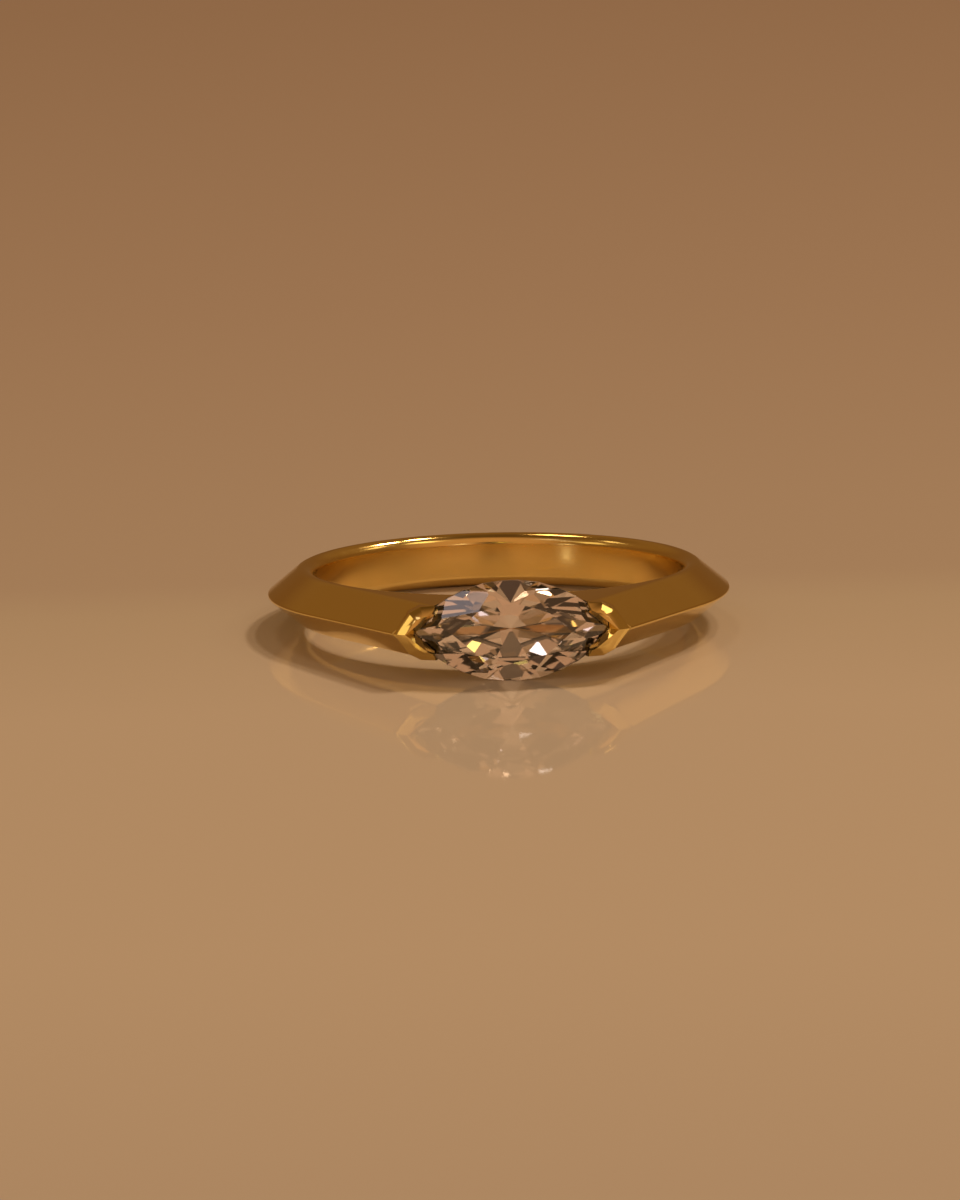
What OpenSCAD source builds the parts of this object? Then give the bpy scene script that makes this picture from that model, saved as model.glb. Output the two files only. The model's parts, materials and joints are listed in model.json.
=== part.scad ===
// Knife edge finger ring with an east-west marquise stone in two V claws.
// Millimetres, +Z up. The ring lies on its side, on its back edge and the lower edge of the stone.
// The stone faces -Y, and the origin is the middle of the ring's footprint on the surface.

/* [Band] */
// Diameter of the finger hole
finger_d = 15.0; // [13:0.1:17]
// Radius of the sharp outer ridge, from the middle of the finger hole
ridge_r = 9.4; // [9.1:0.05:9.6]
// Height of the band along the finger
band_w = 2.2; // [2:0.1:2.6]
// Radius of the rounded edges beside the finger hole
edge_round = 0.45; // [0.3:0.05:0.5]
// Radius that blunts the outer ridge
ridge_round = 0.1; // [0.05:0.01:0.15]

/* [Shoulders] */
// Distance of each shoulder's end from the middle, across the finger
shoulder_x = 4.72; // [4.6:0.02:4.8]
// Distance of each shoulder's end in front of the middle of the finger hole
shoulder_y = 10.05; // [9.9:0.05:10.1]
// Depth of the hollow behind the stone, from the middle of the finger hole
cradle_y = 8.45; // [8.4:0.05:8.6]

/* [Stone] */
// Length of the stone, from point to point
stone_l = 8.0; // [7.8:0.1:8.1]
// Width of the stone
stone_w = 4.0; // [3.8:0.1:4.2]
// Distance of the stone's girdle from the middle of the finger hole
girdle_y = 9.85; // [9.8:0.05:9.9]
// Thickness of the girdle
girdle_t = 0.12; // [0.08:0.02:0.16]
// Height of the crown above the girdle
crown_h = 0.66; // [0.5:0.02:0.7]
// Depth of the pavilion below the girdle
pavilion_h = 1.7; // [1.5:0.05:1.75]
// Size of the table, as a share of the stone
table_share = 0.6; // [0.54:0.01:0.64]

/* [Claws] */
// Distance of each claw's point from the middle, across the finger
claw_tip_x = 4.67; // [4.6:0.01:4.75]
// Distance of the ends of the claw's legs from the middle
claw_end_x = 3.05; // [2.9:0.05:3.2]
// Distance of the first bend in each leg's outer side from the middle, across the finger
knee_x = 4.05; // [3.95:0.01:4.1]
// Height of that bend above the middle
knee_z = 0.82; // [0.76:0.01:0.84]
// Distance of the second bend from the middle, across the finger
bend_x = 3.6; // [3.5:0.01:3.7]
// Height of that bend above the middle
bend_z = 1.06; // [1.02:0.01:1.07]
// Half of the spread of the legs at their ends
leg_spread = 1.09; // [1.08:0.005:1.095]
// Distance of the inner corner of the V from the middle
gap_tip_x = 3.86; // [3.8:0.02:3.9]
// Half of the opening between the legs at their ends
gap_spread = 0.66; // [0.6:0.01:0.7]
// Distance of the claws' front ridge from the middle of the finger hole
claw_y = 10.4; // [10.3:0.02:10.45]
// Space left between the stone and the metal
seat_gap = 0.04; // [0.03:0.01:0.06]

/* [Hidden] */
$fn = 96;

// How far the solids that cut run past the metal, and past the whole ring
past = 1;
far = 20;

// Section of the band: the centres of its edge and ridge rounds, and the bevel that touches both
finger_r = finger_d / 2;
half_w = band_w / 2;
edge_r = finger_r + edge_round;
edge_z = half_w - edge_round;
ridge_c = ridge_r - ridge_round;
bevel_run = ridge_c - edge_r;
bevel_angle = atan2(edge_z, bevel_run) + asin((edge_round - ridge_round) / norm([bevel_run, edge_z]));
// Straight steps in each edge round and in the ridge round
edge_steps = 5;
ridge_steps = 3;
// The metal is drawn from inside the finger hole, which is cut last. The shoulders' metal starts further in,
// so that it fills the front up to the hollow behind the stone
core_r = finger_r - past;
shoulder_core = 4;

// The straight shoulder's ridge passes just inside the round ridge, so that the two cross cleanly,
// and leaves it at an angle from the front
shoulder_in = 0.03;
shoulder_line = ridge_r - shoulder_in;
shoulder_d = norm([shoulder_x, shoulder_y]);
leave_angle = atan2(shoulder_x, shoulder_y) + acos(shoulder_line / shoulder_d);
shoulder_l = sqrt(shoulder_d * shoulder_d - shoulder_line * shoulder_line);
// Length drawn past the shoulder's end, before the front is cut off flat
shoulder_over = 3;

// Hollow behind the stone: an arc through the ends of the legs and the cradle's lowest point
cradle_rise = shoulder_y - cradle_y;
cradle_r = (claw_end_x * claw_end_x + cradle_rise * cradle_rise) / (2 * cradle_rise);

// Outline of the stone: two arcs that meet in its points
stone_a = stone_l / 2;
stone_b = stone_w / 2;
arc_r = (stone_a * stone_a + stone_b * stone_b) / (2 * stone_b);
arc_c = arc_r - stone_b;
table_top = girdle_t / 2 + crown_h;
culet = girdle_t / 2 + pavilion_h;

// Places of the facets between the stone's middle and its point, as shares of its half length.
// A main facet also lies at the middle and at the point.
main_at = 0.56;
girdle_at = [0.92, 0.72, 0.4, 0.15];
// How far the points are blunted
point_flat = 0.06;
// How much steeper than the main facets the girdle facets are, and how much flatter the stars
crown_steeper = 1.3;
pavilion_steeper = 1.05;
star_flatter = 0.6;

// Outline of the claw on the +X side from end to end, and of the opening between all four legs
claw_outline = [
  [claw_end_x, -leg_spread], [bend_x, -bend_z], [knee_x, -knee_z], [claw_tip_x, 0],
  [knee_x, knee_z], [bend_x, bend_z], [claw_end_x, leg_spread],
];
gap_outline = [
  [gap_tip_x, 0], [claw_end_x, gap_spread], [-claw_end_x, gap_spread],
  [-gap_tip_x, 0], [-claw_end_x, -gap_spread], [claw_end_x, -gap_spread],
];
// Bevels on the outer and the inner side of a leg: how deep they start below the front, and their widths
claw_drop = 0.3;
claw_bevel = 0.36;
gap_bevel = 0.22;
// Hidden root of the claws, from the middle of the finger hole
claw_root_y = 8.3;
// Round on the front of a leg's end
end_round = 0.3;
end_steps = 4;

// The ring rests on the round edge at its back and on the stone's lower girdle
front_reach = girdle_y - girdle_t / 2;
rest_span = front_reach + edge_r;
rest_drop = stone_b - edge_z;
rest_tilt = atan2(rest_drop, rest_span) - asin(edge_round / norm([rest_span, rest_drop]));
rest_lift = stone_b * cos(rest_tilt) - front_reach * sin(rest_tilt);
front_y = (girdle_y + table_top) * cos(rest_tilt) + table_share * stone_b * sin(rest_tilt);
back_y = ridge_c * cos(rest_tilt) + ridge_round;
rest_shift = (front_y - back_y) / 2;

// A side of the stone faces an angle t, counted from its +X point, and lies this far from the middle
function faces_point(t) = abs(sin(t)) < 0.001;
function side_d(t) = faces_point(t) ? stone_a - point_flat : arc_r - arc_c * abs(sin(t));

// Where a side that faces t touches the outline
function touch(t) = faces_point(t)
  ? [sign(cos(t)) * side_d(t), 0]
  : [arc_r * cos(t), arc_r * sin(t) - sign(sin(t)) * arc_c];

// Angle of the side at a share of the half length, and the same on all four quarters
function side_t(share) = acos(share * stone_a / arc_r);
function on_quarters(t) = [t, 180 - t, 180 + t, 360 - t];

// Where two sides meet, both moved out by gap
function corner(t1, t2, gap) =
  let (d1 = side_d(t1) + gap, d2 = side_d(t2) + gap)
    [d1 * sin(t2) - d2 * sin(t1), d2 * cos(t1) - d1 * cos(t2)] / sin(t2 - t1);

// Angles in rising order
function in_order(list) = len(list) == 0 ? [] :
  let (low = min(list))
    concat([low], in_order([for (t = list) if (t != low) t]));

main_sides = concat([0, 90, 180, 270], on_quarters(side_t(main_at)));
girdle_sides = [for (share = girdle_at) each on_quarters(side_t(share))];

// Takes the ring from its own frame, with its axis along Z, to its place at rest
module at_rest() {
  translate([0, rest_shift, rest_lift])
    rotate([-rest_tilt, 0, 0])
      children();
}

// A shape and its mirror image across the ring
module both_sides() {
  for (m = [0, 1])
    mirror([m, 0, 0])
      children();
}

// Takes a shape drawn with +Z as the way out of the stone to the front of the ring
module on_girdle() {
  translate([0, -girdle_y, 0])
    rotate([90, 0, 0])
      children();
}

// Points of an arc of radius r about c, from one angle to another, in a few straight steps
function arc(c, r, from, to, steps) = [
  for (i = [0 : steps])
    let (t = from + (to - from) * i / steps)
      c + r * [cos(t), sin(t)]
];

// Section of the metal right of the finger's axis: flat sides, round edges, bevels and a blunt ridge
module metal_section(core) {
  lean = 90 - bevel_angle;
  polygon(concat(
    [[core, -half_w]],
    arc([edge_r, -edge_z], edge_round, -90, -lean, edge_steps),
    arc([ridge_c, 0], ridge_round, -lean, lean, ridge_steps),
    arc([edge_r, edge_z], edge_round, lean, 90, edge_steps),
    [[core, half_w]]
  ));
}

// Straight shoulder on the +X side, past its end and cut off flat in front
module shoulder() {
  intersection() {
    rotate([90, 0, leave_angle - 90])
      translate([-shoulder_in, 0, 0])
        linear_extrude(height = shoulder_l + shoulder_over)
          metal_section(shoulder_core);
    translate([0, -shoulder_y, -half_w - past])
      cube([far, shoulder_y, band_w + 2 * past]);
  }
}

// The finger hole, with flared mouths that round the band's inner edges
module finger_hole() {
  rotate_extrude()
    polygon(concat(
      [[0, -half_w - past], [edge_r, -half_w - past]],
      arc([edge_r, -edge_z], edge_round, 270, 180, edge_steps),
      arc([edge_r, edge_z], edge_round, 180, 90, edge_steps),
      [[edge_r, half_w + past], [0, half_w + past]]
    ));
}

// Facet that leans in (side 1) or out (side -1) from the side of an outline between two of its points
function side_facet(a, b, height, slope, side) =
  let (t = atan2(a[0] - b[0], b[1] - a[1]))
    [t, a * [cos(t), sin(t)], side * height, slope, side];

// V claw on the +X side, before the stone's seat and the opening are cut
module claw() {
  front_corner = [claw_end_x + end_round, -claw_y + end_round];
  intersection() {
    rotate([90, 0, 0])
      cut_facets([
        for (i = [0 : len(claw_outline) - 2])
          side_facet(claw_outline[i], claw_outline[i + 1], claw_y - claw_drop, claw_drop / claw_bevel, 1)
      ], len(claw_outline) - 2, 0)
        translate([0, 0, claw_root_y])
          linear_extrude(height = claw_y - claw_root_y)
            polygon(claw_outline);
    translate([0, 0, -stone_w / 2])
      linear_extrude(height = stone_w)
        polygon(concat(
          [[claw_end_x, -claw_root_y + past]],
          arc(front_corner, end_round, 180, 270, end_steps),
          [[claw_tip_x + past, -claw_y], [claw_tip_x + past, -claw_root_y + past]]
        ));
  }
}

// Facets along the girdle, above and below it: [angle, distance, height, slope, side]
function girdle_facets(angles, crown_lean, pavilion_lean) = [
  for (t = angles)
    let (d = side_d(t))
      each [
        [t, d, girdle_t / 2, crown_lean * crown_h / ((1 - table_share) * d), 1],
        [t, d, girdle_t / 2, pavilion_lean * pavilion_h / d, -1],
      ]
];

// Star facets: one along the edge of the table between each two main facets
function star_facets(angles) = [
  for (i = [0 : len(angles) - 1])
    let (
      a = table_share * touch(angles[i]),
      b = table_share * touch(angles[(i + 1) % len(angles)]),
      t = atan2(a[0] - b[0], b[1] - a[1]),
      d = a * [cos(t), sin(t)]
    )
      [t, d, table_top, star_flatter * crown_h / ((1 / table_share - 1) * d), 1]
];

// Cuts the facets off its child one after the other, gap further out than drawn
module cut_facets(facets, i, gap) {
  difference() {
    if (i > 0)
      cut_facets(facets, i - 1, gap)
        children();
    else
      children();
    let (f = facets[i], side = f[4])
      rotate([0, 0, f[0]])
        translate([f[1], 0, side * f[2]])
          rotate([0, side * atan(f[3]), 0])
            translate([-stone_l, -stone_l, side > 0 ? gap : -gap - stone_l])
              cube([2 * stone_l, 2 * stone_l, stone_l]);
  }
}

// Upright block with the stone's outline, larger by gap all round
module outline_block(sides, gap) {
  translate([0, 0, -culet - 2 * gap])
    linear_extrude(height = culet + table_top + 3 * gap)
      polygon([
        for (i = [0 : len(sides) - 1])
          corner(sides[i], sides[(i + 1) % len(sides)], gap)
      ]);
}

// The cut stone, larger by gap all round, drawn with +Z out of the table
module gem(gap) {
  facets = concat(
    girdle_facets(main_sides, 1, 1),
    girdle_facets(girdle_sides, crown_steeper, pavilion_steeper),
    star_facets(in_order(main_sides))
  );
  cut_facets(facets, len(facets) - 1, gap)
    outline_block(in_order(concat(main_sides, girdle_sides)), gap);
}

// Space in front of the stone between the legs: an upright wall, and above it a bevel that leans out
module claw_gap() {
  gap_h = claw_y + past - girdle_y;
  sides = len(gap_outline);
  rotate([90, 0, 0]) {
    translate([0, 0, girdle_y])
      linear_extrude(height = gap_h)
        polygon(gap_outline);
    cut_facets([
      for (i = [0 : sides - 1])
        side_facet(gap_outline[i], gap_outline[(i + 1) % sides], claw_y - claw_drop, claw_drop / gap_bevel, -1)
    ], sides - 1, 0)
      translate([-stone_a, -stone_b, girdle_y])
        cube([stone_l, stone_w, gap_h]);
  }
}

// Hollow in the band behind the middle of the stone
module cradle() {
  translate([0, -cradle_y - cradle_r, -half_w - past])
    cylinder(r = cradle_r, h = band_w + 2 * past);
}

module ring_band() {
  color([0.83, 0.62, 0.25])
    at_rest()
      difference() {
        union() {
          difference() {
            union() {
              rotate_extrude()
                metal_section(core_r);
              both_sides()
                shoulder();
            }
            cradle();
          }
          both_sides()
            claw();
        }
        claw_gap();
        finger_hole();
        on_girdle()
          gem(seat_gap);
      }
}

module marquise_stone() {
  color([0.85, 0.85, 0.9, 0.5])
    at_rest()
      on_girdle()
        gem(0);
}

ring_band();
marquise_stone();
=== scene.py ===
"""Knife edge pinky ring with a marquise stone between two V claws, lying on its side.

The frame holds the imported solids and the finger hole's place. The band with its claws and the stone are
modelled anew on a bench: at a thousand times their size, so that one unit is a millimetre, upright about
the Z axis and with the stone facing -Y. They are then brought to their real size and their place at rest.
"""

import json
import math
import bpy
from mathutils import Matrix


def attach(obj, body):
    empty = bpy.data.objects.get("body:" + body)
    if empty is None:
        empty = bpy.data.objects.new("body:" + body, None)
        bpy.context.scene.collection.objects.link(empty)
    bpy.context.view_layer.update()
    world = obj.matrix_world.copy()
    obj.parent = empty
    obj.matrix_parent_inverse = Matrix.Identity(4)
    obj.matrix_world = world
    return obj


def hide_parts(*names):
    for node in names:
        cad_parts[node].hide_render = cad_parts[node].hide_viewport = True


bl_info = {
    "name": "Marquise Pinky Ring",
    "version": (1, 0, 0),
    "blender": (4, 5, 0),
    "location": "View3D > Sidebar > Pinky Ring",
    "description": "Models a knife edge ring with a marquise stone in two V claws, and the stage it lies on",
    "category": "Add Mesh",
}

from types import SimpleNamespace

import bmesh
import bpy
from bpy.props import FloatProperty, FloatVectorProperty, IntProperty, PointerProperty
from mathutils import Vector

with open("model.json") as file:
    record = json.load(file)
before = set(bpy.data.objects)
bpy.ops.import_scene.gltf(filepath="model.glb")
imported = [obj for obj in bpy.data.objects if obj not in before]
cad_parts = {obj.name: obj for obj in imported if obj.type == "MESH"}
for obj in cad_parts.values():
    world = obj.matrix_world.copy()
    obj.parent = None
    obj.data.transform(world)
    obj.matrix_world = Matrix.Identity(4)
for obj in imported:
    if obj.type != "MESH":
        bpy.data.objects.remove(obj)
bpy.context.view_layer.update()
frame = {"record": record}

MM = 0.001
FINGER_HOLE = next(m for m in frame["record"]["mounts"] if m["name"] == "finger_hole")
HOLE_CENTRE = Vector(FINGER_HOLE["pos_m"])
HOLE_AXIS = Vector(FINGER_HOLE["axis"])

ALL_ROUND = 2 * math.pi
QUARTER = math.pi / 2
# Bench values: how far a cutting solid runs past the metal, and the distances under which points merge,
# in general and along a cut
PAST = 1.0
MERGE = 0.0004
CUT_MERGE = MERGE / 4
# Edges sharper than this stay sharp in the polished metal
SHARP_EDGE = math.radians(14)
# Steps in the rounds of the band's section: beside the finger hole, beside the bevels and on the ridge
HOLE_STEPS = 12
BEVEL_STEPS = 8
RIDGE_STEPS = 8
# Sides of the round bar that makes the hollow behind the stone
CRADLE_SIDES = 176
# Steps in the round of a leg's end and in its soft edges
END_STEPS = 5
SOFT_STEPS = 4
# How far the V between the legs runs past their ends, and how far short of them the hollow ends
LEG_OVER = 0.2
CRADLE_SHORT = 0.01


def length(name, description, value_mm):
    """A length that the user may change, given here in millimetres."""
    return FloatProperty(
        name=name, description=description, default=value_mm * MM, min=0, precision=5, unit="LENGTH"
    )


def share(name, description, value):
    """A plain number, mostly a share of one."""
    return FloatProperty(name=name, description=description, default=value, min=0, soft_max=2)


def angle(name, description, degrees):
    """An angle, given here in degrees."""
    return FloatProperty(
        name=name, description=description, default=math.radians(degrees), subtype="ANGLE"
    )


def colour(name, description, value):
    return FloatVectorProperty(
        name=name, description=description, default=value, min=0, max=1, size=3, subtype="COLOR"
    )


class BandSizes(bpy.types.PropertyGroup):
    finger_r: length("Finger radius", "Radius of the finger hole", FINGER_HOLE["dims"]["r_mm"])
    ridge_r: length("Ridge radius", "Radius of the sharp outer ridge", 9.4)
    width: length("Width", "Height of the band along the finger", 2.2)
    edge_round: length("Edge round", "Radius of the rounded edges beside the finger hole", 0.45)
    ridge_round: length("Ridge round", "Radius that blunts the outer ridge", 0.1)
    land: length("Land", "Width of the flat between the inner and the outer edge round", 0.01)
    shoulder_x: length("Shoulder across", "Distance of each shoulder's end from the middle", 4.72)
    shoulder_y: length("Shoulder reach", "Distance of each shoulder's end from the finger's axis", 10.05)
    cradle_y: length("Cradle", "Distance of the hollow behind the stone from the finger's axis", 8.45)
    steps: IntProperty(name="Steps", description="Steps of the metal round the finger", default=480, min=96)


class ClawSizes(bpy.types.PropertyGroup):
    tip_x: length("Point", "Distance of each claw's point from the middle", 4.67)
    end_x: length("Leg ends", "Distance of the ends of the legs from the middle", 3.05)
    knee_x: length("Knee across", "Distance of the first bend in a leg's outer side from the middle", 4.05)
    knee_z: length("Knee height", "Height of that bend above the middle", 0.82)
    bend_x: length("Bend across", "Distance of the second bend from the middle", 3.6)
    bend_z: length("Bend height", "Height of that bend above the middle", 1.06)
    leg_spread: length("Leg spread", "Half of the spread of the legs at their ends", 1.09)
    gap_tip_x: length("Opening point", "Distance of the inner corner of the V from the middle", 3.86)
    gap_spread: length("Opening spread", "Half of the opening between the legs at their ends", 0.66)
    front_y: length("Front", "Distance of the claws' front ridge from the finger's axis", 10.4)
    root_y: length("Root", "Distance of the claws' hidden root from the finger's axis", 8.3)
    drop: length("Bevel depth", "How deep the bevels of a leg start below its front", 0.3)
    bevel: length("Outer bevel", "Width of the bevel on the outer side of a leg", 0.36)
    gap_bevel: length("Inner bevel", "Width of the bevel on the inner side of a leg", 0.22)
    end_round: length("End round", "Radius of the round on the front of a leg's end", 0.3)
    soft_edge: length("Soft edge", "Radius of the small rounds beside the outer bevel", 0.06)


class StoneSizes(bpy.types.PropertyGroup):
    long: length("Length", "Length of the stone from point to point", 8.0)
    wide: length("Width", "Width of the stone", 4.0)
    girdle_y: length("Girdle", "Distance of the girdle from the finger's axis", 9.85)
    girdle_t: length("Girdle thickness", "Thickness of the girdle", 0.12)
    crown_h: length("Crown", "Height of the crown above the girdle", 0.66)
    pavilion_h: length("Pavilion", "Depth of the pavilion below the girdle", 1.7)
    point_flat: length("Blunt points", "How far the two points are blunted", 0.06)
    seat_gap: length("Seat gap", "Space left between the stone and the metal", 0.04)
    table: share("Table", "Size of the table as a share of the stone", 0.6)
    main_at: share("Main facets", "Place of the main facets as a share of the half length", 0.56)
    crown_steeper: share("Crown lean", "How much steeper than the mains the upper girdle facets are", 1.3)
    pavilion_steeper: share("Pavilion lean", "How much steeper than the mains the lower ones are", 1.05)
    star_flatter: share("Star lean", "How steep the star facets are beside the mains", 0.6)


class FinishValues(bpy.types.PropertyGroup):
    gold: colour("Gold", "Colour of the polished metal", (0.93, 0.7, 0.25))
    gold_rough: share("Band roughness", "Roughness of the worn band", 0.1)
    hole_rough: share("Hole roughness", "Roughness of the dull wall of the finger hole", 0.2)
    claw_rough: share("Claw roughness", "Roughness of the newer polish on the claws", 0.08)
    stone: colour("Stone", "Colour of the clear stone", (1.0, 0.93, 0.9))
    stone_rough: share("Stone roughness", "Roughness of the worn stone", 0.03)
    girdle_rough: share("Girdle roughness", "Roughness of the stone's ground girdle", 0.35)
    stone_ior: share("Stone refraction", "Refractive index of the stone", 2.16)
    floor: colour("Floor", "Colour of the glazed floor", (0.715, 0.66, 0.585))


class StageValues(bpy.types.PropertyGroup):
    distance: length("Camera distance", "Distance of the camera from the ring", 300)
    frame_h: length("Frame height", "Height of the picture at that distance", 48.88)
    azimuth: angle("Azimuth", "Turn of the camera about the upright, to the right of the stone", -2.65)
    elevation: angle("Elevation", "Height of the camera above the floor", 12.4)
    roll: angle("Roll", "Turn of the camera about its own line of sight", 0.89)
    ring_right: length("Ring right", "How far right of the picture's middle the ring's centre is", 0.77)
    ring_up: length("Ring up", "How far above the picture's middle the ring's centre is", 0.415)
    floor_size: length("Floor size", "Side of the floor", 3000)


def on_bench(group):
    """The group's values, with its lengths in millimetres."""
    values = {}
    for name, prop in group.bl_rna.properties.items():
        if prop.type in {"FLOAT", "INT"}:
            value = getattr(group, name)
            values[name] = value / MM if prop.type == "FLOAT" and prop.unit == "LENGTH" else value
    return SimpleNamespace(**values)


# Modelling by hand


def clear_selection():
    if bpy.context.object and bpy.context.object.mode != "OBJECT":
        bpy.ops.object.mode_set(mode="OBJECT")
    bpy.ops.object.select_all(action="DESELECT")


def pick(piece):
    """Makes a piece the only one selected."""
    clear_selection()
    piece.select_set(True)
    bpy.context.view_layer.objects.active = piece


def edit(piece):
    pick(piece)
    bpy.ops.object.mode_set(mode="EDIT")
    bpy.ops.mesh.select_mode(type="VERT")


def done():
    bpy.ops.object.mode_set(mode="OBJECT")


def started(name, scale=(1, 1, 1)):
    """Names the primitive that was just added, and applies its place and size."""
    piece = bpy.context.object
    piece.name = piece.data.name = name
    piece.scale = scale
    bpy.ops.object.transform_apply(location=True, rotation=True, scale=True)
    return piece


def select_points(test):
    """In edit mode, selects only the points whose place passes the test."""
    piece = bpy.context.object
    mesh = bmesh.from_edit_mesh(piece.data)
    bpy.ops.mesh.select_all(action="DESELECT")
    found = 0
    for vert in mesh.verts:
        vert.select = test(vert.co)
        found += vert.select
    mesh.select_flush(True)
    bmesh.update_edit_mesh(piece.data)
    if not found:
        raise RuntimeError(f"{piece.name}: no point was found at the place asked for")


def cut_off(point, outward, fill=True):
    """In edit mode, cuts away all that lies past a plane."""
    bpy.ops.mesh.select_all(action="SELECT")
    bpy.ops.mesh.bisect(
        plane_co=point, plane_no=outward, use_fill=fill, clear_outer=True, threshold=CUT_MERGE
    )


def close_up():
    """In edit mode, merges doubles and turns all faces outwards."""
    bpy.ops.mesh.select_all(action="SELECT")
    bpy.ops.mesh.remove_doubles(threshold=MERGE)
    bpy.ops.mesh.normals_make_consistent(inside=False)


def apply_modifier(piece, kind, **values):
    pick(piece)
    bpy.ops.object.modifier_add(type=kind)
    modifier = piece.modifiers[-1]
    for name, value in values.items():
        setattr(modifier, name, value)
    bpy.ops.object.modifier_apply(modifier=modifier.name)


def work_with(piece, tool, operation):
    """Cuts, joins or crosses a piece with a tool, which is then gone."""
    apply_modifier(piece, "BOOLEAN", object=tool, operation=operation, solver="EXACT")
    bpy.data.objects.remove(tool)
    if not piece.data.polygons:
        raise RuntimeError(f"{piece.name}: nothing is left after {operation}")
    edit(piece)
    close_up()
    done()


def to_rest(piece):
    """Brings a piece from the bench to its real size and place at rest, and leaves its object at zero."""
    pick(piece)
    piece.scale = (MM, MM, MM)
    piece.rotation_euler = Vector((0, 0, 1)).rotation_difference(HOLE_AXIS).to_euler()
    piece.location = HOLE_CENTRE
    bpy.ops.object.transform_apply(location=True, rotation=True, scale=True)


def check_closed(piece):
    """Raises an error where a piece has a hole, a stray edge or an inside out wall."""
    mesh = bmesh.new()
    mesh.from_mesh(piece.data)
    open_edges = sum(not edge.is_manifold for edge in mesh.edges)
    volume = mesh.calc_volume(signed=True)
    mesh.free()
    if open_edges or volume <= 0:
        raise RuntimeError(f"{piece.name}: {open_edges} open edges, volume {volume}")


def arc(centre, radius, start, end, steps):
    """Points of an arc, from one angle to another."""
    turns = [start + (end - start) * i / steps for i in range(steps + 1)]
    return [(centre[0] + radius * math.cos(t), centre[1] + radius * math.sin(t)) for t in turns]


# The band


def shoulder_leave_angle(band):
    """Angle from the front at which the straight shoulder leaves the round band."""
    reach = math.hypot(band.shoulder_x, band.shoulder_y)
    return math.atan2(band.shoulder_x, band.shoulder_y) + math.acos(band.ridge_r / reach)


def band_section(band):
    """Section of the metal on the +X side: flat inner wall, rounded edges and two bevels to the ridge."""
    half_w = band.width / 2
    edge_r = band.finger_r + band.edge_round
    edge_z = half_w - band.edge_round
    run = band.ridge_r - band.ridge_round - edge_r
    rounds = band.edge_round - band.ridge_round
    lean = math.atan2(edge_z, run) + math.asin(rounds / math.hypot(run, edge_z))
    apex = band.ridge_r - band.ridge_round + band.ridge_round / math.sin(lean)
    corner = band.edge_round * math.tan(lean / 2)
    span = apex + PAST - band.finger_r

    clear_selection()
    bpy.ops.mesh.primitive_plane_add(
        size=1, location=(band.finger_r + span / 2, 0, 0), rotation=(QUARTER, 0, 0)
    )
    piece = started("ring_band_polished", (span, band.width, 1))
    edit(piece)
    for side in (1, -1):
        cut_off((apex, 0, 0), (math.sin(lean), 0, side * math.cos(lean)), fill=False)
    close_up()
    inner_r, outer_r = band.finger_r + MERGE, apex - MERGE
    round_corners(lambda place: place.x < inner_r, band.edge_round, HOLE_STEPS)
    round_corners(lambda place: edge_r + MERGE < place.x < outer_r, corner - band.land, BEVEL_STEPS)
    round_corners(lambda place: place.x > outer_r, band.ridge_round / math.tan(lean), RIDGE_STEPS)
    bpy.ops.mesh.select_all(action="SELECT")
    bpy.ops.mesh.delete(type="ONLY_FACE")
    done()
    return piece


def round_corners(test, offset, steps):
    """In edit mode, rounds the corners of a flat outline whose place passes the test."""
    select_points(test)
    bpy.ops.mesh.bevel(
        offset=offset, offset_type="OFFSET", affect="VERTICES", segments=steps, profile=0.5,
        clamp_overlap=False,
    )


def draw_out_shoulders(piece, band):
    """Moves the front's outer metal out, column by column, to straight shoulders that meet in a peak."""
    leave = shoulder_leave_angle(band)
    outer_r = band.finger_r + band.edge_round + band.land / 2
    columns = {}
    mesh = bmesh.from_edit_mesh(piece.data)
    for vert in mesh.verts:
        turn = abs(math.atan2(vert.co.x, -vert.co.y))
        if turn < leave and vert.co.xy.length > outer_r:
            columns.setdefault(round(turn * band.steps / ALL_ROUND), []).append(vert)
    bpy.ops.mesh.select_all(action="DESELECT")
    for number, column in columns.items():
        out = 1 / math.cos(leave - number * ALL_ROUND / band.steps)
        for vert in column:
            vert.select = True
        bpy.ops.transform.resize(value=(out, out, 1), center_override=(0, 0, 0))
        for vert in column:
            vert.select = False


def make_band(band):
    piece = band_section(band)
    edit(piece)
    bpy.ops.mesh.select_all(action="SELECT")
    bpy.ops.mesh.spin(steps=band.steps, angle=ALL_ROUND, center=(0, 0, 0), axis=(0, 0, 1))
    close_up()
    draw_out_shoulders(piece, band)
    cut_off((0, -band.shoulder_y, 0), (0, -1, 0))
    close_up()
    done()
    return piece


def cradle_tool(band, claw):
    """Hollow behind the stone: a round bar through the ends of the legs and the cradle's lowest point."""
    rise = band.shoulder_y - band.cradle_y
    reach = claw.end_x - CRADLE_SHORT
    radius = (reach**2 + rise**2) / (2 * rise)
    clear_selection()
    bpy.ops.mesh.primitive_cylinder_add(
        vertices=CRADLE_SIDES, radius=radius, depth=band.width + 2 * PAST,
        location=(0, -band.cradle_y - radius, 0),
    )
    piece = started("cradle_tool")
    edit(piece)
    close_up()
    done()
    return piece


# The claws


def block(name, low, high):
    """An upright block from one corner to the opposite one."""
    low, high = Vector(low), Vector(high)
    clear_selection()
    bpy.ops.mesh.primitive_cube_add(size=1, location=(low + high) / 2)
    return started(name, high - low)


def cut_sides(corners, out, depth, lean):
    """In edit mode, cuts along an outline in X and Z, moved out, at a distance from the finger's axis.

    The cuts are upright where the lean is zero, and turn to face the front as it grows.
    """
    for here, there in zip(corners, corners[1:]):
        away = Vector((there[1] - here[1], 0, here[0] - there[0])).normalized()
        point = Vector((here[0], -depth, here[1])) + out * away
        cut_off(point, away * math.cos(lean) - Vector((0, math.sin(lean), 0)))


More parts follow.
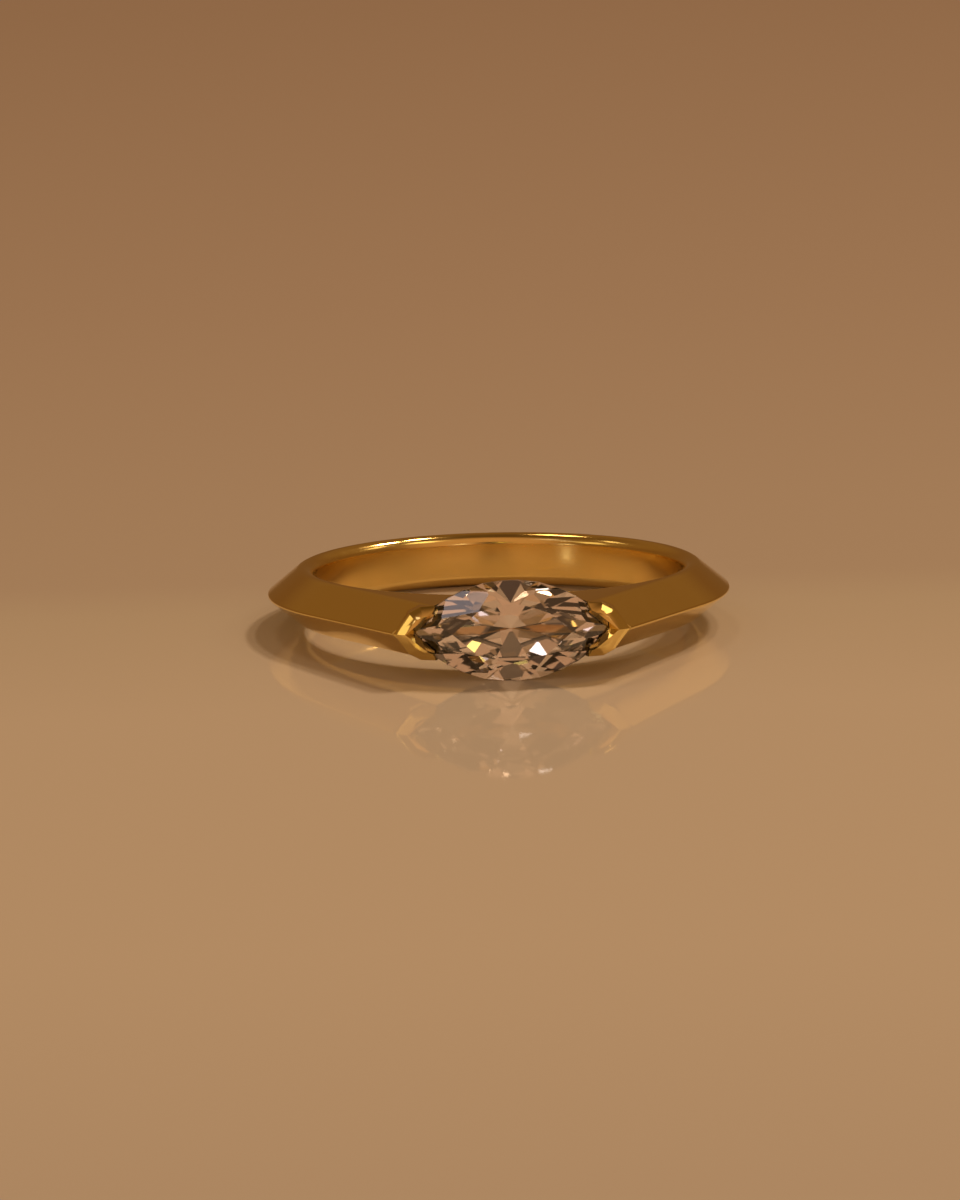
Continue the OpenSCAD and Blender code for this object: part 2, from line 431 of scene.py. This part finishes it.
def leg_profile(claw):
    """Cuts of a leg's outer side as (out, depth, lean): upright, round, the bevel and round again."""
    lean = math.atan2(claw.bevel, claw.drop)
    low = (-claw.soft_edge, claw.front_y - claw.drop - claw.soft_edge * math.tan(lean / 2))
    high = (
        -claw.bevel - claw.soft_edge * math.tan((QUARTER - lean) / 2),
        claw.front_y - claw.soft_edge,
    )
    turns = [(low, lean * i / SOFT_STEPS) for i in range(SOFT_STEPS + 1)]
    turns += [(high, lean + (QUARTER - lean) * i / SOFT_STEPS) for i in range(1, SOFT_STEPS)]
    return [
        (centre[0] + claw.soft_edge * math.cos(t), centre[1] + claw.soft_edge * math.sin(t), t)
        for centre, t in turns
    ]


def claw_pair(claw, stone):
    """Both claws: straight filed sides and bevels to a ridge, and rounded ends."""
    low = (claw.end_x, -claw.front_y, -stone.wide)
    high = (claw.tip_x + PAST, -claw.root_y, stone.wide)
    corners = [
        (claw.end_x, -claw.leg_spread), (claw.bend_x, -claw.bend_z), (claw.knee_x, -claw.knee_z),
        (claw.tip_x, 0), (claw.knee_x, claw.knee_z), (claw.bend_x, claw.bend_z),
        (claw.end_x, claw.leg_spread),
    ]
    piece = block("claws", low, high)
    edit(piece)
    for cut in leg_profile(claw):
        cut_sides(corners, *cut)
    centre = (claw.end_x + claw.end_round, claw.end_round - claw.front_y)
    for x, y in arc(centre, claw.end_round, math.pi, math.pi + QUARTER, END_STEPS)[1:-1]:
        cut_off((x, y, 0), (x - centre[0], y - centre[1], 0))
    close_up()
    done()
    apply_modifier(piece, "MIRROR", use_mirror_merge=False)
    edit(piece)
    close_up()
    done()
    return piece


def opening_tools(claw, stone):
    """The space between the legs: an upright prism, and one that widens to the front for their bevel."""
    tools = []
    tip, end = claw.gap_tip_x, claw.end_x - LEG_OVER
    spread = claw.gap_spread * (tip - end) / (tip - claw.end_x)
    corners = [
        (tip, 0), (end, spread), (-end, spread), (-tip, 0), (-end, -spread), (end, -spread), (tip, 0),
    ]
    for name, lean in (("opening_tool", 0), ("bevel_tool", -math.atan2(claw.gap_bevel, claw.drop))):
        low = (-stone.long, -claw.front_y - PAST, -stone.wide)
        high = (stone.long, -stone.girdle_y, stone.wide)
        tool = block(name, low, high)
        edit(tool)
        cut_sides(corners, 0, claw.front_y - claw.drop, lean)
        close_up()
        done()
        tools.append(tool)
    return tools


# The stone


class Outline:
    """The marquise outline, made of straight sides that touch two arcs. A side faces an angle."""

    def __init__(self, stone):
        self.stone = stone
        self.half = stone.long / 2
        half_wide = stone.wide / 2
        self.arc_r = (self.half**2 + half_wide**2) / (2 * half_wide)
        self.arc_c = self.arc_r - half_wide

    def faces_point(self, turn):
        return abs(math.sin(turn)) < MERGE

    def distance(self, turn):
        """Distance of a side from the middle."""
        if self.faces_point(turn):
            return self.half - self.stone.point_flat
        return self.arc_r - self.arc_c * abs(math.sin(turn))

    def touch(self, turn):
        """Where a side touches the arcs."""
        if self.faces_point(turn):
            return Vector((math.copysign(self.distance(turn), math.cos(turn)), 0))
        drop = math.copysign(self.arc_c, math.sin(turn))
        return Vector((self.arc_r * math.cos(turn), self.arc_r * math.sin(turn) - drop))

    def on_quarters(self, part):
        """The four sides at a share of the half length."""
        turn = math.acos(part * self.half / self.arc_r)
        return [turn, math.pi - turn, math.pi + turn, ALL_ROUND - turn]


# Places of the girdle facets, two beside each main facet, as shares of the stone's half length
GIRDLE_AT = (0.92, 0.72, 0.4, 0.15)


def facets_of(stone):
    """Planes of all facets as [(point, outward), ...], in the stone's own frame: +Z is out of the table."""
    outline = Outline(stone)
    mains = sorted([0, QUARTER, math.pi, math.pi + QUARTER] + outline.on_quarters(stone.main_at))
    girdle = sorted(turn for part in GIRDLE_AT for turn in outline.on_quarters(part))
    top = stone.girdle_t / 2 + stone.crown_h
    planes = []

    def facet(turn, distance, height, slope, side):
        lean = math.atan(slope)
        point = Vector((distance * math.cos(turn), distance * math.sin(turn), side * height))
        flat, up = math.sin(lean), math.cos(lean)
        planes.append((point, Vector((flat * math.cos(turn), flat * math.sin(turn), side * up))))

    for turn in mains + girdle:
        distance = outline.distance(turn)
        planes.append((
            Vector((distance * math.cos(turn), distance * math.sin(turn), 0)),
            Vector((math.cos(turn), math.sin(turn), 0)),
        ))
    for turns, crown_lean, pavilion_lean in (
        (mains, 1, 1),
        (girdle, stone.crown_steeper, stone.pavilion_steeper),
    ):
        for turn in turns:
            distance = outline.distance(turn)
            crown = crown_lean * stone.crown_h / ((1 - stone.table) * distance)
            facet(turn, distance, stone.girdle_t / 2, crown, 1)
            facet(turn, distance, stone.girdle_t / 2, pavilion_lean * stone.pavilion_h / distance, -1)
    for here, there in zip(mains, mains[1:] + mains[:1]):
        a, b = stone.table * outline.touch(here), stone.table * outline.touch(there)
        turn = math.atan2(a.x - b.x, b.y - a.y)
        distance = a.x * math.cos(turn) + a.y * math.sin(turn)
        slope = stone.star_flatter * stone.crown_h / ((1 / stone.table - 1) * distance)
        facet(turn, distance, top, slope, 1)
    planes.append((Vector((0, 0, top)), Vector((0, 0, 1))))
    return planes


def make_stone(name, stone, gap):
    """The cut stone at its place on the bench, larger by gap all round."""
    clear_selection()
    bpy.ops.mesh.primitive_cube_add(size=2 * stone.long)
    piece = started(name)
    edit(piece)
    for point, outward in facets_of(stone):
        cut_off(point + gap * outward, outward)
    close_up()
    bpy.ops.mesh.select_all(action="SELECT")
    bpy.ops.transform.rotate(
        value=-QUARTER, orient_axis="X", orient_type="GLOBAL", center_override=(0, 0, 0)
    )
    bpy.ops.transform.translate(value=(0, -stone.girdle_y, 0))
    done()
    return piece


# Materials


class Nodes:
    """A short way to build a node tree."""

    def __init__(self, owner):
        owner.use_nodes = True
        self.tree = owner.node_tree

    def add(self, kind, inputs=None, **values):
        node = self.tree.nodes.new(kind)
        for name, value in values.items():
            setattr(node, name, value)
        for name, value in (inputs or {}).items():
            if isinstance(value, bpy.types.NodeSocket):
                self.tree.links.new(value, node.inputs[name])
            else:
                node.inputs[name].default_value = value
        return node

    def shader(self):
        return next(n for n in self.tree.nodes if n.type == "BSDF_PRINCIPLED")


def new_material(name):
    material = bpy.data.materials.new(name)
    return material, Nodes(material)


# Between these places along Y, in millimetres, the claws' polish gives way to the worn band
BRIGHT_Y, WORN_Y = -9.5, -8.5
# Between these radii, in millimetres, the dull wall of the finger hole gives way to the bright band
DULL_R, BRIGHT_R = 7.6, 7.85
# How fine the noise is, in steps a metre: the soft waves, the dull patches and the polishing lines
WAVE_SCALE, PATCH_SCALE, LINE_SCALE = 420, 1300, 9000
# Heights of the waves and lines in millimetres, and how long a line is drawn round the finger
WAVE_HEIGHT, LINE_HEIGHT = 0.012, 0.0006
LINE_DRAW = 0.4
# The noise that is taken for the patches, and how much it changes the roughness
PATCH_LOW, PATCH_HIGH = 0.35, 0.7
SMOOTHER, ROUGHER = 0.85, 1.2


def gold_material(finish):
    """Polished yellow gold: soft waves, fine polishing lines round the finger and small dull patches."""
    material, nodes = new_material("polished_gold")
    place = nodes.add("ShaderNodeTexCoord").outputs["Object"]
    parts = nodes.add("ShaderNodeSeparateXYZ", {"Vector": place}).outputs
    turn = nodes.add("ShaderNodeMath", {0: parts["X"], 1: parts["Y"]}, operation="ARCTAN2")
    reach = nodes.add("ShaderNodeVectorMath", {0: place}, operation="LENGTH")
    along = nodes.add("ShaderNodeMath", {0: turn.outputs[0], 1: LINE_DRAW * MM}, operation="MULTIPLY")
    lines_at = nodes.add(
        "ShaderNodeCombineXYZ", {"X": along.outputs[0], "Y": reach.outputs["Value"], "Z": parts["Z"]}
    )
    lines = nodes.add(
        "ShaderNodeTexNoise", {"Vector": lines_at.outputs[0], "Scale": LINE_SCALE, "Detail": 3}
    )
    waves = nodes.add("ShaderNodeTexNoise", {"Vector": place, "Scale": WAVE_SCALE, "Detail": 2})
    patches = nodes.add("ShaderNodeTexNoise", {"Vector": place, "Scale": PATCH_SCALE, "Detail": 5})
    worn = nodes.add(
        "ShaderNodeMapRange",
        {
            "Value": parts["Y"],
            "From Min": BRIGHT_Y * MM,
            "From Max": WORN_Y * MM,
            "To Min": finish.claw_rough,
            "To Max": finish.gold_rough,
        },
    )
    to_hole = (0, -HOLE_CENTRE.y, 0)
    flat = nodes.add("ShaderNodeVectorMath", {0: place, 1: (1, 1, 0), 2: to_hole}, operation="MULTIPLY_ADD")
    radius = nodes.add("ShaderNodeVectorMath", {0: flat.outputs["Vector"]}, operation="LENGTH")
    dull = nodes.add(
        "ShaderNodeMapRange",
        {
            "Value": radius.outputs["Value"],
            "From Min": DULL_R * MM,
            "From Max": BRIGHT_R * MM,
            "To Min": finish.hole_rough,
            "To Max": 0,
        },
    )
    whole = nodes.add(
        "ShaderNodeMath", {0: worn.outputs["Result"], 1: dull.outputs["Result"]}, operation="MAXIMUM"
    )
    uneven = nodes.add(
        "ShaderNodeMapRange",
        {
            "Value": patches.outputs["Fac"],
            "From Min": PATCH_LOW,
            "From Max": PATCH_HIGH,
            "To Min": SMOOTHER,
            "To Max": ROUGHER,
        },
    )
    rough = nodes.add(
        "ShaderNodeMath", {0: whole.outputs["Value"], 1: uneven.outputs["Result"]}, operation="MULTIPLY"
    )
    wavy = nodes.add(
        "ShaderNodeBump", {"Height": waves.outputs["Fac"], "Distance": WAVE_HEIGHT * MM, "Strength": 1}
    )
    lined = nodes.add(
        "ShaderNodeBump",
        {
            "Height": lines.outputs["Fac"],
            "Distance": LINE_HEIGHT * MM,
            "Strength": 1,
            "Normal": wavy.outputs["Normal"],
        },
    )
    shader = nodes.shader()
    shader.inputs["Base Color"].default_value = (*finish.gold, 1)
    shader.inputs["Metallic"].default_value = 1.0
    nodes.tree.links.new(rough.outputs["Value"], shader.inputs["Roughness"])
    nodes.tree.links.new(lined.outputs["Normal"], shader.inputs["Normal"])
    return material


def clear_material(name, finish, rough):
    """A clear material in the colour of the stone."""
    material, nodes = new_material(name)
    shader = nodes.shader()
    shader.inputs["Base Color"].default_value = (*finish.stone, 1)
    shader.inputs["Roughness"].default_value = rough
    shader.inputs["IOR"].default_value = finish.stone_ior
    shader.inputs["Transmission Weight"].default_value = 1
    return material, nodes


def stone_material(finish):
    """Clear cut stone with polished facets."""
    return clear_material("clear_facets", finish, finish.stone_rough)[0]


# Grain of the ground girdle: how fine it is, in steps a metre, and its height in millimetres
GRAIN_SCALE = 30000
GRAIN_HEIGHT = 0.002


def girdle_material(finish):
    """The stone's ground girdle."""
    material, nodes = clear_material("ground_girdle", finish, finish.girdle_rough)
    place = nodes.add("ShaderNodeTexCoord").outputs["Object"]
    grain = nodes.add("ShaderNodeTexNoise", {"Vector": place, "Scale": GRAIN_SCALE, "Detail": 2})
    bump = nodes.add("ShaderNodeBump", {"Height": grain.outputs["Fac"], "Distance": GRAIN_HEIGHT * MM})
    nodes.tree.links.new(bump.outputs["Normal"], nodes.shader().inputs["Normal"])
    return material


# Painted shade on the floor, whose colour deepens away from the camera: millimetres behind the origin, and
# the tone of its colour there
FLOOR_NEAR, FLOOR_FAR = -80, 190
FLOOR_SHADE_TONES = (
    (-78, (0.92, 0.92, 0.94)),
    (-50, (1.0, 1.0, 1.0)),
    (-14, (1.0, 1.0, 1.0)),
    (4, (0.9, 0.9, 0.88)),
    (10, (0.82, 0.79, 0.79)),
    (75, (0.74, 0.68, 0.68)),
    (187, (0.62, 0.55, 0.55)),
)
# The glaze: refractive index, how fine its cloudiness is in steps a metre, and least and most roughness
GLAZE_IOR = 1.45
CLOUD_SCALE = 60
GLAZE_SMOOTH, GLAZE_ROUGH = 0.03, 0.05


def floor_material(finish):
    """Pale glazed floor with a faint mirror, and painted shade that deepens its colour a little away from
    the camera.
    """
    material, nodes = new_material("glazed_floor_painted_shade")
    place = nodes.add("ShaderNodeTexCoord").outputs["Object"]
    depth = nodes.add("ShaderNodeSeparateXYZ", {"Vector": place}).outputs["Y"]
    along = nodes.add(
        "ShaderNodeMapRange", {"Value": depth, "From Min": FLOOR_NEAR * MM, "From Max": FLOOR_FAR * MM}
    )
    # The ramp paints shade into the floor's colour, deeper the farther it lies behind the origin
    ramp = nodes.add("ShaderNodeValToRGB", {"Fac": along.outputs["Result"]})
    shade_tones = ramp.color_ramp.elements
    while len(shade_tones) < len(FLOOR_SHADE_TONES):
        shade_tones.new(1)
    for element, (at, tone) in zip(shade_tones, FLOOR_SHADE_TONES):
        element.position = (at - FLOOR_NEAR) / (FLOOR_FAR - FLOOR_NEAR)
        element.color = (*(part * whole for part, whole in zip(tone, finish.floor)), 1)
    cloud = nodes.add("ShaderNodeTexNoise", {"Vector": place, "Scale": CLOUD_SCALE, "Detail": 2})
    rough = nodes.add(
        "ShaderNodeMapRange", {"Value": cloud.outputs["Fac"], "To Min": GLAZE_SMOOTH, "To Max": GLAZE_ROUGH}
    )
    shader = nodes.shader()
    nodes.tree.links.new(ramp.outputs["Color"], shader.inputs["Base Color"])
    shader.inputs["IOR"].default_value = GLAZE_IOR
    nodes.tree.links.new(rough.outputs["Result"], shader.inputs["Roughness"])
    return material


# Stage


def towards(target, position):
    """Turn of a lamp or camera at a position that looks at a target."""
    return (target - position).to_track_quat("-Z", "Y").to_euler()


# Soft lamps: name, direction from the ring, distance and size across and up in metres, power in watts, tint.
# The first two light the whole ring. Each of the others is there to be mirrored by the metal or the stone.
LAMPS = (
    ("key_lamp", (0.485, 0.37, 0.795), 0.9, 0.09, 0.1, 2.65, (1.0, 0.685, 0.425)),
    ("second_lamp", (0.315, 0.37, 0.868), 0.9, 0.07, 0.09, 1.25, (1.0, 0.685, 0.425)),
    ("back_lamp", (-0.19, 0.43, 0.883), 0.9, 0.17, 0.12, 0.5, (1.0, 0.68, 0.4)),
    ("left_lamp", (-0.816, -0.285, 0.501), 0.5, 0.15, 0.12, 0.055, (1.0, 0.78, 0.45)),
    ("right_lamp", (0.549, -0.26, 0.794), 0.5, 0.14, 0.1, 0.085, (1.0, 0.8, 0.5)),
    ("inner_left_lamp", (0.76, 0.12, 0.64), 0.5, 0.08, 0.08, 0.045, (1.0, 0.76, 0.48)),
    ("inner_right_lamp", (-0.676, 0.184, 0.712), 0.5, 0.07, 0.07, 0.035, (1.0, 0.76, 0.48)),
    ("front_lamp", (0.35, -0.92, 0.19), 0.6, 0.05, 0.05, 0.016, (1.0, 0.97, 0.97)),
    ("side_lamp", (-0.73, -0.68, 0.12), 0.6, 0.055, 0.055, 0.022, (1.0, 0.9, 0.8)),
    ("window_lamp", (-0.45, -0.45, 0.77), 0.6, 0.09, 0.09, 0.024, (0.98, 0.88, 0.94)),
    ("cool_lamp", (-0.63, -0.475, 0.62), 0.6, 0.05, 0.05, 0.012, (1.0, 0.9, 0.9)),
    ("amber_lamp", (-0.08, -0.95, 0.31), 0.6, 0.045, 0.045, 0.015, (1.0, 0.75, 0.2)),
)


def add_lamps(centre):
    """Adds the soft lamps, each turned to the centre of the ring."""
    for name, direction, distance, across, up, power, tint in LAMPS:
        place = centre + distance * Vector(direction).normalized()
        clear_selection()
        bpy.ops.object.light_add(type="AREA", location=place, rotation=towards(centre, place))
        lamp = bpy.context.object
        lamp.name = lamp.data.name = name
        lamp.data.shape = "RECTANGLE"
        lamp.data.size, lamp.data.size_y = across, up
        lamp.data.energy = power
        lamp.data.color = tint


# Colours of the room by height: the sine of the elevation, and the colour there
ROOM_COLOURS = (
    (0.0, (0.175, 0.08, 0.024)),
    (0.25, (0.175, 0.08, 0.024)),
    (0.42, (0.215, 0.108, 0.034)),
    (0.6, (0.215, 0.108, 0.034)),
    (1.0, (0.1, 0.05, 0.016)),
)
# Patches of the room in front, first a paler one and then two dark ones that the stone mirrors: direction of
# the middle, angles from it in degrees at which the patch ends and is full, and colour
ROOM_PATCHES = (
    ((0.12, -0.88, 0.46), 58, 30, (0.52, 0.27, 0.13, 1)),
    ((0.0, -0.955, 0.28), 11.5, 8.5, (0.05, 0.028, 0.018, 1)),
    ((0.05, -0.995, 0.05), 6, 3, (0.14, 0.08, 0.04, 1)),
)
# A Mix node has sockets of each name for every kind of value: these are its colours and their mixture
MIX_A, MIX_B = 6, 7
MIX_RESULT = 2


def add_room():
    """Surrounds the stage with a warm room, paler in front, with two dark patches there."""
    world = bpy.data.worlds.new("warm_room")
    bpy.context.scene.world = world
    nodes = Nodes(world)
    background = next(n for n in nodes.tree.nodes if n.type == "BACKGROUND")
    direction = nodes.add("ShaderNodeTexCoord").outputs["Generated"]
    height = nodes.add("ShaderNodeSeparateXYZ", {"Vector": direction}).outputs["Z"]
    ramp = nodes.add("ShaderNodeValToRGB", {"Fac": height})
    colours = ramp.color_ramp.elements
    while len(colours) < len(ROOM_COLOURS):
        colours.new(1)
    for element, (position, shade) in zip(colours, ROOM_COLOURS):
        element.position = position
        element.color = (*shade, 1)
    room = ramp.outputs["Color"]
    for middle, edge, full, tone in ROOM_PATCHES:
        facing = nodes.add(
            "ShaderNodeVectorMath", {0: direction, 1: Vector(middle).normalized()}, operation="DOT_PRODUCT"
        )
        part = nodes.add(
            "ShaderNodeMapRange",
            {
                "Value": facing.outputs["Value"],
                "From Min": math.cos(math.radians(edge)),
                "From Max": math.cos(math.radians(full)),
            },
            interpolation_type="SMOOTHSTEP",
        )
        mix = nodes.add("ShaderNodeMix", data_type="RGBA")
        nodes.tree.links.new(part.outputs["Result"], mix.inputs["Factor"])
        nodes.tree.links.new(room, mix.inputs[MIX_A])
        mix.inputs[MIX_B].default_value = tone
        room = mix.outputs[MIX_RESULT]
    nodes.tree.links.new(room, background.inputs["Color"])


# The camera's sensor in millimetres, and the range that it sees in metres
SENSOR = 36
NEAREST, FARTHEST = 0.01, 10


def add_camera(stage):
    """Adds the camera, with the ring at its place in the picture."""
    level = math.cos(stage.elevation)
    back = Vector((
        math.sin(stage.azimuth) * level, -math.cos(stage.azimuth) * level, math.sin(stage.elevation)
    ))
    right = Vector((0, 0, 1)).cross(back).normalized()
    up = back.cross(right)
    aim = HOLE_CENTRE - right * stage.ring_right - up * stage.ring_up
    clear_selection()
    bpy.ops.object.camera_add(location=aim + back * stage.distance)
    camera = bpy.context.object
    camera.rotation_euler = towards(aim, camera.location)
    camera.rotation_euler.rotate_axis("Z", -stage.roll)
    camera.name = camera.data.name = "ring_camera"
    camera.data.sensor_width = SENSOR
    camera.data.lens = SENSOR * stage.distance / stage.frame_h
    camera.data.clip_start = NEAREST
    camera.data.clip_end = FARTHEST
    bpy.context.scene.camera = camera


# Operators


class RING_OT_band(bpy.types.Operator):
    """Model the knife edge band with its straight shoulders and the two V claws"""

    bl_idname = "ring.make_band"
    bl_label = "Band and Claws"
    bl_options = {"REGISTER", "UNDO"}

    def execute(self, context):
        scene = context.scene
        band, claw, stone = (on_bench(g) for g in (scene.ring_band, scene.ring_claws, scene.ring_stone))
        piece = make_band(band)
        work_with(piece, cradle_tool(band, claw), "DIFFERENCE")
        work_with(piece, claw_pair(claw, stone), "UNION")
        for tool in opening_tools(claw, stone):
            work_with(piece, tool, "DIFFERENCE")
        work_with(piece, make_stone("seat_tool", stone, stone.seat_gap), "DIFFERENCE")
        to_rest(piece)
        check_closed(piece)
        piece.data.materials.clear()
        piece.data.materials.append(gold_material(scene.ring_finish))
        pick(piece)
        bpy.ops.object.shade_smooth_by_angle(angle=SHARP_EDGE)
        apply_modifier(piece, "WEIGHTED_NORMAL", keep_sharp=True)
        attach(piece, "root")
        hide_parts("ring_band")
        return {"FINISHED"}


class RING_OT_stone(bpy.types.Operator):
    """Cut the marquise stone, facet by facet"""

    bl_idname = "ring.make_stone"
    bl_label = "Stone"
    bl_options = {"REGISTER", "UNDO"}

    def execute(self, context):
        stone = on_bench(context.scene.ring_stone)
        piece = make_stone("marquise_stone_cut", stone, 0)
        piece.data.materials.append(stone_material(context.scene.ring_finish))
        piece.data.materials.append(girdle_material(context.scene.ring_finish))
        for face in piece.data.polygons:
            face.material_index = int(abs(face.normal.y) < MERGE)
        to_rest(piece)
        check_closed(piece)
        pick(piece)
        bpy.ops.object.shade_flat()
        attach(piece, "root")
        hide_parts("marquise_stone")
        return {"FINISHED"}


class RING_OT_stage(bpy.types.Operator):
    """Set the floor, the soft lamps, the warm room and the camera"""

    bl_idname = "ring.make_stage"
    bl_label = "Stage"
    bl_options = {"REGISTER", "UNDO"}

    def execute(self, context):
        stage = context.scene.ring_stage
        clear_selection()
        bpy.ops.mesh.primitive_plane_add(size=stage.floor_size)
        floor = started("floor")
        floor.data.materials.append(floor_material(context.scene.ring_finish))
        add_lamps(HOLE_CENTRE)
        add_room()
        add_camera(stage)
        context.scene.view_settings.view_transform = "Standard"
        return {"FINISHED"}


class RING_PT_panel(bpy.types.Panel):
    """Sizes and finishes of the ring, and the buttons that make it"""

    bl_idname = "RING_PT_panel"
    bl_label = "Pinky Ring"
    bl_space_type = "VIEW_3D"
    bl_region_type = "UI"
    bl_category = "Pinky Ring"

    def draw(self, context):
        for name, label, _ in GROUPS:
            box = self.layout.box()
            box.label(text=label)
            group = getattr(context.scene, name)
            for prop in group.bl_rna.properties:
                if prop.identifier not in {"rna_type", "name"}:
                    box.prop(group, prop.identifier)
        for operator in (RING_OT_band, RING_OT_stone, RING_OT_stage):
            self.layout.operator(operator.bl_idname)


# The scene's groups of values: name, label in the panel and class
GROUPS = (
    ("ring_band", "Band", BandSizes),
    ("ring_claws", "Claws", ClawSizes),
    ("ring_stone", "Stone", StoneSizes),
    ("ring_finish", "Finish", FinishValues),
    ("ring_stage", "Stage", StageValues),
)
CLASSES = (*(group for _, _, group in GROUPS), RING_OT_band, RING_OT_stone, RING_OT_stage, RING_PT_panel)


def register():
    for cls in CLASSES:
        bpy.utils.register_class(cls)
    for name, _, group in GROUPS:
        setattr(bpy.types.Scene, name, PointerProperty(type=group))


def unregister():
    for name, _, _ in GROUPS:
        delattr(bpy.types.Scene, name)
    for cls in reversed(CLASSES):
        bpy.utils.unregister_class(cls)


def main():
    register()
    bpy.ops.ring.make_band()
    bpy.ops.ring.make_stone()
    bpy.ops.ring.make_stage()
    clear_selection()


if __name__ == "__main__":
    main()
